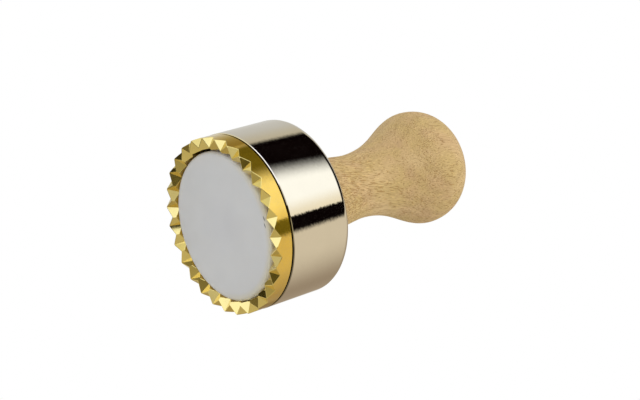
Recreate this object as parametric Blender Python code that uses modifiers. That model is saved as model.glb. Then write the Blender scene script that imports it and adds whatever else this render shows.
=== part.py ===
"""A round ravioli stamp that cuts a 60 mm circle.

A brass ring with a crown of zigzag teeth is seated in a plated sleeve. A plastic ejector slides in
the ring and is pushed out by a spring. A stud, a nut and two washers hold the sleeve to a turned
beech handle. Metres, +Z along the stamp's axis: the teeth's crests lie at z = 0, the handle is up.
"""

from math import cos, pi, sin

import bmesh
import bpy
from mathutils import Vector
from mathutils.geometry import interpolate_bezier

MM = 0.001

# Clearances
SEAT_GAP = 0.3 * MM
RUNNING_GAP = 0.35 * MM
SPRING_SIDE_GAP = 0.7 * MM

# Brass cutting ring
TEETH = 28
RING_RADIUS = 30.0 * MM
RING_WALL = 4.0 * MM
CREST_DEPTH = 3.1 * MM
OUTER_GROOVE_DEPTH = 2.15 * MM
INNER_GROOVE_DEPTH = 2.85 * MM
CREST_BLUNTING = 0.08 * MM
BAND_HEIGHT = 6.7 * MM
SPIGOT_LENGTH = 4.5 * MM
SPIGOT_CHAMFER = 0.5 * MM

# Plated sleeve, which stands proud of the ring
SLEEVE_STEP = 0.1 * MM
SLEEVE_WALL = 1.2 * MM
SLEEVE_LENGTH = 24.4 * MM
SLEEVE_BACK_THICKNESS = 2.0 * MM
SLEEVE_FRONT_ROUNDING = 0.2 * MM
SLEEVE_REAR_ROUNDING = 2.8 * MM

# Plastic ejector, with room for dough to clear between it and the ring
EJECTOR_SIDE_GAP = 0.6 * MM
EJECTOR_FACE_HEIGHT = 1.2 * MM
EJECTOR_RIM_ROUNDING = 0.7 * MM
EJECTOR_FACE_THICKNESS = 2.5 * MM
EJECTOR_SKIRT_WALL = 2.0 * MM
EJECTOR_FLANGE_THICKNESS = 2.5 * MM
EJECTOR_BOSS_HEIGHT = 3.0 * MM
EJECTOR_TRAVEL = 12.0 * MM
EJECTOR_RIBS = 6
RIB_THICKNESS = 1.4 * MM
RIB_HEIGHT = 6.0 * MM

# Stud, nut and washers
STUD_RADIUS = 3.0 * MM
STUD_IN_HANDLE = 28.0 * MM
STUD_POINT = 4.0 * MM
STUD_PAST_NUT = 1.5 * MM
STUD_CHAMFER = 0.6 * MM
NUT_ACROSS_FLATS = 10.0 * MM
NUT_HEIGHT = 5.0 * MM
NUT_CHAMFER = 0.5 * MM
FLAT_WASHER_RADIUS = 9.0 * MM
FLAT_WASHER_THICKNESS = 1.2 * MM
LOCK_WASHER_RADIUS = 5.5 * MM
LOCK_WASHER_THICKNESS = 1.6 * MM
LOCK_WASHER_SLIT = 0.8 * MM

# Return spring
WIRE_RADIUS = 0.7 * MM
ACTIVE_TURNS = 5
CLOSED_TURN_GAP = 0.5 * MM
POINTS_PER_TURN = 16

# Turned handle: heights are above its base, and a pull is how far the outline runs straight on
HANDLE_LENGTH = 71.8 * MM
HANDLE_BASE_RADIUS = 14.6 * MM
HANDLE_BASE_CHAMFER = 0.4 * MM
HANDLE_BASE_PULL = 8.0 * MM
HANDLE_BASE_TAPER = 0.9 * MM
WAIST_RADIUS = 11.5 * MM
WAIST_HEIGHT = 26.0 * MM
WAIST_PULL_DOWN = 2.7 * MM
WAIST_PULL_UP = 16.7 * MM
BALL_RADIUS = 20.45 * MM
BALL_HEIGHT = 56.7 * MM
BALL_PULL_DOWN = 7.4 * MM
BALL_PULL_UP = 9.9 * MM
HANDLE_END_PULL = 12.1 * MM
HANDLE_BORE_PAST_STUD = 1.0 * MM

# Facets
ROUND_STEPS = 84
HANDLE_STEPS = 60
SMALL_STEPS = 32
SECTIONS_PER_HALF_TOOTH = 2
ROUNDING_STEPS = 4
OUTLINE_POINTS = 11
MERGE = 0.00001
SHARP_ANGLE = pi / 6

# Heights of the seats, and radii that follow from the pieces that fit together
RING_BORE_RADIUS = RING_RADIUS - RING_WALL
INNER_TIP_RADIUS = RING_RADIUS - CREST_DEPTH
SLEEVE_RADIUS = RING_RADIUS + SLEEVE_STEP
EJECTOR_RADIUS = RING_BORE_RADIUS - EJECTOR_SIDE_GAP
SLEEVE_FRONT = BAND_HEIGHT + SEAT_GAP
SLEEVE_BACK = SLEEVE_FRONT + SLEEVE_LENGTH
SLEEVE_INSIDE_BACK = SLEEVE_BACK - SLEEVE_BACK_THICKNESS
SLEEVE_BORE_RADIUS = SLEEVE_RADIUS - SLEEVE_WALL
SPIGOT_RADIUS = SLEEVE_BORE_RADIUS - SEAT_GAP
SPIGOT_END = BAND_HEIGHT + SPIGOT_LENGTH
FLANGE_BOTTOM = SPIGOT_END + SEAT_GAP
FLANGE_RADIUS = SLEEVE_BORE_RADIUS - RUNNING_GAP
SKIRT_END = SLEEVE_INSIDE_BACK - SEAT_GAP - EJECTOR_TRAVEL
STUD_HOLE_RADIUS = STUD_RADIUS + SEAT_GAP
FLAT_WASHER_TOP = SLEEVE_INSIDE_BACK - SEAT_GAP
LOCK_WASHER_TOP = FLAT_WASHER_TOP - FLAT_WASHER_THICKNESS - SEAT_GAP
NUT_TOP = LOCK_WASHER_TOP - LOCK_WASHER_THICKNESS - SEAT_GAP
STUD_BOTTOM = NUT_TOP - NUT_HEIGHT - STUD_PAST_NUT
HANDLE_BASE = SLEEVE_BACK + SEAT_GAP
STUD_TOP = HANDLE_BASE + STUD_IN_HANDLE
SPRING_RADIUS = FLAT_WASHER_RADIUS + SPRING_SIDE_GAP + WIRE_RADIUS
SPRING_OUTER_RADIUS = SPRING_RADIUS + WIRE_RADIUS
SPRING_BOTTOM = EJECTOR_FACE_HEIGHT + EJECTOR_FACE_THICKNESS + SEAT_GAP + WIRE_RADIUS
SPRING_TOP = SLEEVE_INSIDE_BACK - SEAT_GAP - WIRE_RADIUS


def clear_scene():
    for obj in list(bpy.data.objects):
        bpy.data.objects.remove(obj)


def new_collection(name):
    collection = bpy.data.collections.new(name)
    bpy.context.scene.collection.children.link(collection)
    return collection


def new_material(name, colour, roughness, metallic):
    material = bpy.data.materials.new(name)
    material.use_nodes = True
    shader = material.node_tree.nodes["Principled BSDF"]
    shader.inputs["Base Color"].default_value = (*colour, 1.0)
    shader.inputs["Roughness"].default_value = roughness
    shader.inputs["Metallic"].default_value = metallic
    return material


def new_object(name, mesh, collection, height=0.0):
    """An object whose origin lies on the stamp's axis at this height."""
    obj = bpy.data.objects.new(name, mesh)
    obj.location.z = height
    collection.objects.link(obj)
    return obj


def mesh_from(bm, name):
    mesh = bpy.data.meshes.new(name)
    bm.to_mesh(mesh)
    bm.free()
    return mesh


def freeze(obj):
    """Replace an object's mesh by what its modifiers make of it, smooth except at real edges."""
    graph = bpy.context.evaluated_depsgraph_get()
    mesh = bpy.data.meshes.new_from_object(obj.evaluated_get(graph))
    obj.modifiers.clear()
    obj.data = mesh
    mesh.shade_smooth()
    mesh.set_sharp_from_angle(angle=SHARP_ANGLE)


def turned(name, outline, collection, height=0.0, steps=ROUND_STEPS):
    """A turned piece from its outline of (radius, height) points, listed down its outer side.

    An outline that ends on the axis is open there, any other is closed into a ring.
    """
    bm = bmesh.new()
    verts = [bm.verts.new((radius, 0.0, z)) for radius, z in outline]
    on_axis = outline[0][0] == 0.0
    for first, second in zip(verts, verts[1:]):
        bm.edges.new((first, second))
    if not on_axis:
        bm.edges.new((verts[-1], verts[0]))
    obj = new_object(name, mesh_from(bm, name), collection, height)
    screw = obj.modifiers.new("turn", "SCREW")
    screw.axis = "Z"
    screw.steps = steps
    screw.render_steps = steps
    screw.use_merge_vertices = True
    screw.merge_threshold = MERGE
    freeze(obj)
    return obj


def boolean(obj, cutter, operation):
    modifier = obj.modifiers.new(operation.lower(), "BOOLEAN")
    modifier.operation = operation
    modifier.solver = "EXACT"
    modifier.object = cutter
    freeze(obj)


def as_cutter(obj):
    obj.hide_render = True
    obj.display_type = "WIRE"
    return obj


def rounding(radius, height, size, start, end):
    """Points of a quarter round about (radius, height), from one angle to the other."""
    points = []
    for step in range(ROUNDING_STEPS + 1):
        angle = start + (end - start) * step / ROUNDING_STEPS
        points.append((radius + size * cos(angle), height + size * sin(angle)))
    return points


def flat_wall(*corners):
    """A flat groove wall through three corners, as a point and its upright normal."""
    a, b, c = (Vector(corner) for corner in corners)
    return a, (b - a).cross(c - a)


def wall_height(wall, radius, turn):
    """Height of a wall over the point at this radius and angle."""
    point, normal = wall
    across = normal.x * (radius * cos(turn) - point.x) + normal.y * (radius * sin(turn) - point.y)
    return point.z - across / normal.z


def wall_radius(wall, turn):
    """Radius at which a wall reaches the plane of the crests, at this angle."""
    point, normal = wall
    return normal.dot(point) / (normal.x * cos(turn) + normal.y * sin(turn))


def crown_walls():
    """The two flat walls of a half tooth, whose inner tip lies at angle 0.

    The crest runs zigzag between inner and outer tips. Outside it a groove falls from each inner
    tip to the rim, inside it a groove falls from each outer tip to the bore.
    """
    half = pi / TEETH
    inner_tip = (INNER_TIP_RADIUS, 0.0, -CREST_BLUNTING)
    outer_tip = (RING_RADIUS * cos(half), RING_RADIUS * sin(half), -CREST_BLUNTING)
    rim_end = (RING_RADIUS, 0.0, OUTER_GROOVE_DEPTH)
    bore_end = (RING_BORE_RADIUS * cos(half), RING_BORE_RADIUS * sin(half), INNER_GROOVE_DEPTH)
    return flat_wall(inner_tip, rim_end, outer_tip), flat_wall(inner_tip, outer_tip, bore_end)


def ring_section(turn):
    """The ring's closed outline at this angle from an inner tip, as (radius, height) points."""
    outer_wall, inner_wall = crown_walls()
    rim = max(0.0, wall_height(outer_wall, RING_RADIUS, turn))
    crest_outside = min(RING_RADIUS, wall_radius(outer_wall, turn))
    crest_inside = wall_radius(inner_wall, turn)
    bore = wall_height(inner_wall, RING_BORE_RADIUS, turn)
    return [
        (RING_RADIUS, BAND_HEIGHT),
        (RING_RADIUS, rim),
        (crest_outside, 0.0),
        (crest_inside, 0.0),
        (RING_BORE_RADIUS, bore),
        (RING_BORE_RADIUS, SPIGOT_END - SPIGOT_CHAMFER),
        (RING_BORE_RADIUS + SPIGOT_CHAMFER, SPIGOT_END),
        (SPIGOT_RADIUS - SPIGOT_CHAMFER, SPIGOT_END),
        (SPIGOT_RADIUS, SPIGOT_END - SPIGOT_CHAMFER),
        (SPIGOT_RADIUS, BAND_HEIGHT),
    ]


def make_cutter_ring(collection):
    """A loft through the ring's sections, which differ because of the teeth's flat facets."""
    bm = bmesh.new()
    half = pi / TEETH
    loops = []
    for index in range(2 * TEETH * SECTIONS_PER_HALF_TOOTH):
        angle = half * index / SECTIONS_PER_HALF_TOOTH
        past_inner_tip = angle % (2 * half)
        turn = min(past_inner_tip, 2 * half - past_inner_tip)
        facing = angle + half
        section = ring_section(turn)
        loops.append([bm.verts.new((r * cos(facing), r * sin(facing), z)) for r, z in section])
    for loop, following in zip(loops, loops[1:] + loops[:1]):
        for index, vert in enumerate(loop):
            bm.faces.new((vert, loop[index - 1], following[index - 1], following[index]))
    bmesh.ops.remove_doubles(bm, verts=bm.verts, dist=MERGE)
    bmesh.ops.recalc_face_normals(bm, faces=bm.faces)
    mesh = mesh_from(bm, "cutter_ring")
    mesh.shade_smooth()
    mesh.set_sharp_from_angle(angle=SHARP_ANGLE)
    ring = new_object("cutter_ring", mesh, collection)
    ring.data.materials.append(new_material("brass", (0.83, 0.62, 0.22), 0.2, 1.0))
    return ring


def make_head_sleeve(collection):
    length = SLEEVE_LENGTH
    rear = SLEEVE_REAR_ROUNDING
    front = SLEEVE_FRONT_ROUNDING
    inside = SLEEVE_INSIDE_BACK - SLEEVE_FRONT
    outline = [(STUD_HOLE_RADIUS, length)]
    outline += rounding(SLEEVE_RADIUS - rear, length - rear, rear, pi / 2, 0.0)
    outline += rounding(SLEEVE_RADIUS - front, front, front, 0.0, -pi / 2)
    outline += [(SLEEVE_BORE_RADIUS, 0.0), (SLEEVE_BORE_RADIUS, inside), (STUD_HOLE_RADIUS, inside)]
    sleeve = turned("head_sleeve", outline, collection, SLEEVE_FRONT)
    sleeve.data.materials.append(new_material("plating", (0.80, 0.77, 0.70), 0.12, 1.0))
    return sleeve


def ejector_outline():
    """The ejector's outline with its face at height 0."""
    web = EJECTOR_FACE_THICKNESS
    boss = web + EJECTOR_BOSS_HEIGHT
    skirt_inside = EJECTOR_RADIUS - EJECTOR_SKIRT_WALL
    skirt_end = SKIRT_END - EJECTOR_FACE_HEIGHT
    flange = FLANGE_BOTTOM - EJECTOR_FACE_HEIGHT
    rim = EJECTOR_RIM_ROUNDING
    outline = [
        (0.0, boss),
        (FLAT_WASHER_RADIUS, boss),
        (FLAT_WASHER_RADIUS, web),
        (skirt_inside, web),
        (skirt_inside, skirt_end),
        (EJECTOR_RADIUS, skirt_end),
        (EJECTOR_RADIUS, flange + EJECTOR_FLANGE_THICKNESS),
        (FLANGE_RADIUS, flange + EJECTOR_FLANGE_THICKNESS),
        (FLANGE_RADIUS, flange),
        (EJECTOR_RADIUS, flange),
    ]
    outline += rounding(EJECTOR_RADIUS - rim, rim, rim, 0.0, -pi / 2)
    outline.append((0.0, 0.0))
    return outline


def add_ejector_ribs(ejector, cutters):
    """Radial ribs between the spring and the skirt, behind the ejector's face."""
    inner = SPRING_OUTER_RADIUS + 2 * SPRING_SIDE_GAP
    outer = EJECTOR_RADIUS - EJECTOR_SKIRT_WALL / 2
    foot = EJECTOR_FACE_THICKNESS / 2
    top = EJECTOR_FACE_THICKNESS + RIB_HEIGHT
    for index in range(EJECTOR_RIBS):
        bm = bmesh.new()
        bmesh.ops.create_cube(bm, size=1.0)
        bmesh.ops.scale(bm, vec=(outer - inner, RIB_THICKNESS, top - foot), verts=bm.verts)
        bmesh.ops.translate(bm, vec=((inner + outer) / 2, 0.0, (foot + top) / 2), verts=bm.verts)
        rib = as_cutter(new_object(f"rib_{index + 1}", mesh_from(bm, "rib"), cutters, ejector.location.z))
        rib.rotation_euler.z = 2 * pi * index / EJECTOR_RIBS
        boolean(ejector, rib, "UNION")


def make_ejector(collection, cutters):
    ejector = turned("ejector_disc", ejector_outline(), collection, EJECTOR_FACE_HEIGHT)
    add_ejector_ribs(ejector, cutters)
    ejector.data.materials.clear()
    ejector.data.materials.append(new_material("white_plastic", (0.78, 0.78, 0.76), 0.35, 0.0))
    return ejector


def make_handle_stud(collection):
    length = STUD_TOP - STUD_BOTTOM
    outline = [
        (0.0, length),
        (STUD_RADIUS, length - STUD_POINT),
        (STUD_RADIUS, STUD_CHAMFER),
        (STUD_RADIUS - STUD_CHAMFER, 0.0),
        (0.0, 0.0),
    ]
    stud = turned("handle_stud", outline, collection, STUD_BOTTOM, SMALL_STEPS)
    stud.data.materials.append(new_material("stud_steel", (0.62, 0.62, 0.60), 0.35, 1.0))
    return stud


def make_washer(name, radius, thickness, top, collection):
    outline = [(radius, thickness), (radius, 0.0), (STUD_HOLE_RADIUS, 0.0), (STUD_HOLE_RADIUS, thickness)]
    return turned(name, outline, collection, top - thickness, SMALL_STEPS)


def make_flat_washer(collection):
    washer = make_washer(
        "flat_washer", FLAT_WASHER_RADIUS, FLAT_WASHER_THICKNESS, FLAT_WASHER_TOP, collection
    )
    washer.data.materials.append(new_material("flat_washer_steel", (0.66, 0.66, 0.64), 0.3, 1.0))
    return washer


def make_lock_washer(collection, cutters):
    washer = make_washer(
        "lock_washer", LOCK_WASHER_RADIUS, LOCK_WASHER_THICKNESS, LOCK_WASHER_TOP, collection
    )
    bm = bmesh.new()
    bmesh.ops.create_cube(bm, size=1.0)
    size = (2 * LOCK_WASHER_RADIUS, LOCK_WASHER_SLIT, 3 * LOCK_WASHER_THICKNESS)
    bmesh.ops.scale(bm, vec=size, verts=bm.verts)
    bmesh.ops.translate(bm, vec=(LOCK_WASHER_RADIUS, 0.0, LOCK_WASHER_THICKNESS / 2), verts=bm.verts)
    slit = as_cutter(new_object("washer_slit", mesh_from(bm, "slit"), cutters, washer.location.z))
    boolean(washer, slit, "DIFFERENCE")
    washer.data.materials.clear()
    washer.data.materials.append(new_material("lock_washer_steel", (0.45, 0.45, 0.44), 0.4, 1.0))
    return washer


def make_handle_nut(collection, cutters):
    """A hexagon prism, trimmed by a turned blank that has the stud's hole and chamfered ends."""
    corner_radius = NUT_ACROSS_FLATS / 2 / cos(pi / 6)
    bm = bmesh.new()
    bmesh.ops.create_cone(
        bm, cap_ends=True, segments=6, radius1=corner_radius, radius2=corner_radius, depth=2 * NUT_HEIGHT
    )
    bmesh.ops.translate(bm, vec=(0.0, 0.0, NUT_HEIGHT / 2), verts=bm.verts)
    height = NUT_TOP - NUT_HEIGHT
    hexagon = as_cutter(new_object("nut_hexagon", mesh_from(bm, "hexagon"), cutters, height))
    blank = corner_radius + MERGE
    outline = [
        (blank - NUT_CHAMFER, NUT_HEIGHT),
        (blank, NUT_HEIGHT - NUT_CHAMFER),
        (blank, NUT_CHAMFER),
        (blank - NUT_CHAMFER, 0.0),
        (STUD_HOLE_RADIUS, 0.0),
        (STUD_HOLE_RADIUS, NUT_HEIGHT),
    ]
    nut = turned("handle_nut", outline, collection, height, SMALL_STEPS)
    boolean(nut, hexagon, "INTERSECT")
    nut.data.materials.clear()
    nut.data.materials.append(new_material("nut_steel", (0.60, 0.60, 0.58), 0.32, 1.0))
    return nut


def spring_height(turns):
    """Height of the wire's centre after this many turns: the end turns are closed up."""
    closed_pitch = 2 * WIRE_RADIUS + CLOSED_TURN_GAP
    open_pitch = (SPRING_TOP - SPRING_BOTTOM - 2 * closed_pitch) / ACTIVE_TURNS
    closed_before = min(turns, 1.0)
    open_turns = min(max(turns - 1.0, 0.0), ACTIVE_TURNS)
    closed_after = max(turns - 1.0 - ACTIVE_TURNS, 0.0)
    return SPRING_BOTTOM + closed_pitch * (closed_before + closed_after) + open_pitch * open_turns


def spring_points():
    count = (ACTIVE_TURNS + 2) * POINTS_PER_TURN
    points = []
    for index in range(count + 1):
        turns = index / POINTS_PER_TURN
        angle = 2 * pi * turns
        x = SPRING_RADIUS * cos(angle)
        y = SPRING_RADIUS * sin(angle)
        points.append(Vector((x, y, spring_height(turns))))
    return points


def least_gap(points):
    """The wire's least distance to itself, between points at least half a turn apart."""
    apart = POINTS_PER_TURN // 2
    gaps = [(a - b).length for i, a in enumerate(points) for b in points[i + apart :]]
    return min(gaps) - 2 * WIRE_RADIUS


def make_return_spring(collection):
    points = spring_points()
    print(f"return_spring: least gap of the wire to itself {least_gap(points) / MM:.2f} mm")
    curve = bpy.data.curves.new("return_spring", "CURVE")
    curve.dimensions = "3D"
    curve.bevel_depth = WIRE_RADIUS
    curve.bevel_resolution = 2
    curve.use_fill_caps = True
    spline = curve.splines.new("POLY")
    spline.points.add(len(points) - 1)
    for spot, point in zip(spline.points, points):
        spot.co = (*point, 1.0)
    spring = new_object("return_spring", curve, collection)
    curve.materials.append(new_material("spring_steel", (0.50, 0.50, 0.49), 0.3, 1.0))
    return spring


def handle_outline():
    """The handle's outline down its outer side, then up its bore, from its base at height 0."""
    end = Vector((0.0, HANDLE_LENGTH, 0.0))
    shoulder = Vector((HANDLE_END_PULL, HANDLE_LENGTH, 0.0))
    ball = Vector((BALL_RADIUS, BALL_HEIGHT, 0.0))
    waist = Vector((WAIST_RADIUS, WAIST_HEIGHT, 0.0))
    base = Vector((HANDLE_BASE_RADIUS, HANDLE_BASE_CHAMFER, 0.0))
    up = Vector((0.0, 1.0, 0.0))
    flare = Vector((-HANDLE_BASE_TAPER, HANDLE_BASE_PULL, 0.0))
    crown = interpolate_bezier(end, shoulder, ball + BALL_PULL_UP * up, ball, OUTLINE_POINTS)
    neck = interpolate_bezier(
        ball, ball - BALL_PULL_DOWN * up, waist + WAIST_PULL_UP * up, waist, OUTLINE_POINTS
    )
    foot = interpolate_bezier(waist, waist - WAIST_PULL_DOWN * up, base + flare, base, OUTLINE_POINTS)
    outline = [(point.x, point.y) for point in crown + neck[1:] + foot[1:]]
    bore_end = STUD_IN_HANDLE + HANDLE_BORE_PAST_STUD
    outline += [
        (HANDLE_BASE_RADIUS - HANDLE_BASE_CHAMFER, 0.0),
        (STUD_HOLE_RADIUS, 0.0),
        (STUD_HOLE_RADIUS, bore_end),
        (0.0, bore_end),
    ]
    return outline


def make_wooden_handle(collection):
    handle = turned("wooden_handle", handle_outline(), collection, HANDLE_BASE, HANDLE_STEPS)
    handle.data.materials.append(new_material("beech", (0.62, 0.42, 0.22), 0.55, 0.0))
    return handle


def main():
    clear_scene()
    parts = new_collection("ravioli_stamp")
    cutters = new_collection("cutters")

    stamp = new_object("stamp_frame", None, parts)
    slide = new_object("ejector_slide", None, parts)
    slide.parent = stamp

    fixed = [
        make_cutter_ring(parts),
        make_head_sleeve(parts),
        make_handle_stud(parts),
        make_flat_washer(parts),
        make_lock_washer(parts, cutters),
        make_handle_nut(parts, cutters),
        make_return_spring(parts),
        make_wooden_handle(parts),
    ]
    for obj in fixed:
        obj.parent = stamp
    make_ejector(parts, cutters).parent = slide


main()
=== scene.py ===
"""Looks of a round ravioli stamp: brass ring, plated sleeve, white ejector and beech handle."""

from math import cos, pi, radians, sin

import bmesh
import bpy
from bpy.props import FloatProperty, FloatVectorProperty, IntProperty, PointerProperty
from mathutils import Matrix, Quaternion, Vector
from mathutils.geometry import interpolate_bezier


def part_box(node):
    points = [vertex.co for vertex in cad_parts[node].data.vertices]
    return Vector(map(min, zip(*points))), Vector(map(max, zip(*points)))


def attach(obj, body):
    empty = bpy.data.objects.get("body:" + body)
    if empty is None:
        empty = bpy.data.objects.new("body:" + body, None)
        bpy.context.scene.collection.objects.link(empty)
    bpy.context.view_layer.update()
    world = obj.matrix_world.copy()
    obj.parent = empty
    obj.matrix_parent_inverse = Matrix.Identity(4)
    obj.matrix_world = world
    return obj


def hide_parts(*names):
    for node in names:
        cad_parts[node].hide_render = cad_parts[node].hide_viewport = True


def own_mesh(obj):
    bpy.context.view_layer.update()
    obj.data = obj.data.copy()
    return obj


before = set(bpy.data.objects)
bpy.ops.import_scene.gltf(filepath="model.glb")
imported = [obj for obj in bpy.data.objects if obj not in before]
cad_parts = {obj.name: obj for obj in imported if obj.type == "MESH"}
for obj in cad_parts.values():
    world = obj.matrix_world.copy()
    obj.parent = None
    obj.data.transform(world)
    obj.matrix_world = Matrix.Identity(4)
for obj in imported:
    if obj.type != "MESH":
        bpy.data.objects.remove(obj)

bl_info = {
    "name": "Ravioli Stamp",
    "version": (1, 0, 0),
    "blender": (4, 5, 0),
    "location": "3D View > Sidebar > Stamp",
    "description": "Dresses the frame of a round ravioli stamp and sets it in a small studio",
    "category": "Object",
}

MM = 0.001
STAMP = "stamp_body"
EJECTOR = "ejector"

RING_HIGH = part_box("cutter_ring")[1]
SLEEVE_LOW, SLEEVE_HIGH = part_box("head_sleeve")
EJECTOR_LOW, EJECTOR_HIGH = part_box("ejector_disc")
HANDLE_LOW, HANDLE_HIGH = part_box("wooden_handle")
STUD_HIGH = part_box("handle_stud")[1]
WASHER_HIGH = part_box("flat_washer")[1]
SPRING_LOW, SPRING_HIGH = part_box("return_spring")

RING_RADIUS = RING_HIGH.x
SLEEVE_RADIUS = SLEEVE_HIGH.x
SEAT_GAP = HANDLE_LOW.z - SLEEVE_HIGH.z
BAND_HEIGHT = SLEEVE_LOW.z - SEAT_GAP
STUD_HOLE_RADIUS = STUD_HIGH.x + SEAT_GAP

# Fineness of the meshes
MERGE = 1e-6
SHARP_ANGLE = radians(20)
CROWN_SHARP_ANGLE = radians(12)
COIL_SHARP_ANGLE = radians(40)
HALF_TOOTH_STEPS = 8
SLEEVE_STEPS = 320
EJECTOR_STEPS = 192
HANDLE_STEPS = 160
ROUNDING_STEPS = 6
CURVE_STEPS = 26
COIL_STEPS = 36
WIRE_STEPS = 4
CARD_STEPS = 8

# Ejector and spring
SAG_DIRECTION = Vector((0.75, 0.66, 0.0))
RIBS = 6
SPRING_TURNS = 7
CLOSED_TURN_GAP = 0.5 * MM

# How far the handle's curve is drawn along its end, its ball, its waist and its base, in mm
END_DRAW = 12.1
BALL_DRAW_UP, BALL_DRAW_DOWN = 9.9, 7.4
WAIST_DRAW_UP, WAIST_DRAW_DOWN = 16.7, 2.7
BASE_DRAW_UP, BASE_DRAW_IN = 8.0, 0.9

# Shared effects: where smudges and tones fade in over their noise, how often turned lines wander
# per metre, and how much finer than smudges the small marks are
SMUDGE_EDGE = (0.42, 0.68)
TONE_EDGE = (0.35, 0.65)
LINE_WANDER = 60.0
FINE_MARKS = 9.0

# Brass: its tint at a grazing view, its lacquer, and the slope between cut facets and satin band
GRAZING_TINT = (1.0, 0.93, 0.58)
LACQUER_IOR = 1.9
LACQUER_ROUGHNESS = 0.08
LACQUER_ON_DARK_PATCHES = 0.15
SATIN_EDGE = (-0.45, -0.25)
SATIN_TILT = 0.09
SATIN_ROUGHNESS = 0.03
METAL_OF_CUTS, METAL_OF_BAND = 0.92, 0.8
# How much the band keeps of its colour in its two darkened patches, and their soft ends round the
# axis; the upper patch is a painted dark reflection, the lower one only darkens the band there
BAND_PATCH_DARKENING = (0.41, 0.355, 0.04)
UPPER_PAINTED_DARK_REFLECTION = ((134.0, 130.0), (98.0, 129.0))
LOWER_DARK_PATCH = ((-113.0, -103.0), (-84.0, -92.0))
# Painted shade in the joint between band and sleeve, near black and without metal or lacquer
PAINTED_JOINT_SHADE = (0.03, 0.015, 0.005)
JOINT_SHADE_ROUGHNESS = 0.6
JOINT_SHADE_HEIGHT = 0.1 * MM
JOINT_SHADE_EDGE = (RING_RADIUS - 0.05 * MM, RING_RADIUS - 0.3 * MM)

# The sleeve's front lip: a painted warm shine on its chamfer, and painted shade along its lower
# part
PAINTED_LIP_SHINE = (0.80, 0.64, 0.36)
LIP_SHINE_FADE = 0.1 * MM
PAINTED_LIP_SHADE = (0.27, 0.22, 0.14)
LIP_SHADE_FADE = 0.15 * MM
LIP_SHADE_SIDE = ((-160.0, -150.0), (-80.0, -90.0))

# Plastic: how light gets into it
SOAK_DEPTH = 5.0 * MM
SOAK_BY_COLOUR = (1.0, 0.95, 0.9)
# Painted shade makes the middle of the face a little darker
PAINTED_MIDDLE_SHADE = (0.92, 0.925, 0.94)
MIDDLE_SHADE_EDGE = (15.0 * MM, 2.0 * MM)
# The brass throws a warm glow on the rim at one side
BRASS_GLOW = (1.0, 0.93, 0.74)
GLOW_SIDE = (0.6, -0.8, 0.0)
GLOW_RIM = (22.5 * MM, 25.2 * MM)
GLOW_EDGE = (-4.0 * MM, 16.0 * MM)
# Two small scuffs on the face: their middles and half sizes in mm
SCUFFS = ((2.5, -23.85, 1.2), (4.7, -23.15, 1.2))
SCUFF_SIZE = (0.95, 0.3, 2.0)
SCUFF_SHADE = (0.10, 0.10, 0.14)
SCUFF_EDGE = (1.3, 0.3)
SCUFF_STRENGTH = 0.9

# Beech: how its grain leans against the handle's axis
GRAIN_LEAN_AXIS = (0.0, 0.8, 0.6)
GRAIN_LEAN = radians(-17)
GRAIN_MIDDLE = (0.0, 0.0, 60.0 * MM)
# How closely its marks follow one another per metre, across and along the grain
BENDS = (40.0, 40.0, 12.0)
WANDER = (90.0, 90.0, 30.0)
PATCHES = (110.0, 110.0, 70.0)
FIBRES = (2700.0, 2700.0, 170.0)
SILK = (3500.0, 3600.0, 300.0)
PORES = (3600.0, 3600.0, 360.0)
GROWTH = (0.5 / MM, 1.4 / MM, 0.06 / MM)
# How far the bends and the growth rings stray
BEND_REACH = 6.0 * MM
WANDER_REACH = 9.0
# What crowds the pores and the silk: the neck, patches and growth rings
NECK = (66.0 * MM, 46.0 * MM)
NECK_CROWD = 0.06
PATCH_CROWD = 0.22
RING_CROWD = 0.012
# Where each kind of mark fades in, how strong it is, and what it does to the colour
RING_EDGE = (-0.6, 1.0)
RING_STRENGTH = 0.35
FIBRE_EDGE = (0.38, 0.66)
FIBRE_STRENGTH = 0.62
SILK_EDGE = (0.56, 0.66)
PORE_EDGE = (0.61, 0.66)
PORE_STRENGTH = 0.70
DUSK = (0.80, 0.78, 0.74)
PALE = (1.17, 1.17, 1.16)
BEECH_ROUGHNESS = 0.5
FIBRE_ROUGHNESS = 0.14
FIBRE_HEIGHT = 0.35

# Where the camera stands: an angle round the stamp, a height angle and a tilt about its own axis
CAMERA_AZIMUTH = radians(2.23)
CAMERA_ELEVATION = radians(-37.31)
CAMERA_ROLL = radians(72.93)
CAMERA_DISTANCE = 526.4 * MM
CAMERA_TARGET = Vector((1.94, -20.74, 27.20)) * MM
CAMERA_LENS = 90.0
CAMERA_CLIP = 10.0 * MM

# The studio's floor, and its level directions towards the camera's side and beside it
FLOOR_SIZE = 6.0
FLOOR_DROP = 0.1 * MM
TOWARD = Vector((sin(CAMERA_AZIMUTH), -cos(CAMERA_AZIMUTH), 0.0))
BESIDE = Vector((-cos(CAMERA_AZIMUTH), -sin(CAMERA_AZIMUTH), 0.0))

# Low cards close to the teeth at the far side, for the facets to reflect: angles and heights
CARD_DISTANCE = 40.0 * MM
DARK_END_CARD = (103.0, 114.0, -38.0 * MM, -1.5 * MM)
DARK_CARD = (114.0, 136.0, -24.0 * MM, 0.2 * MM)
DIM_CARD = (136.0, 186.0, -12.0 * MM, -0.5 * MM)
END_SHADE = (0.16, 0.14, 0.09)
DIM_SHADE = (0.26, 0.24, 0.16)

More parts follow.
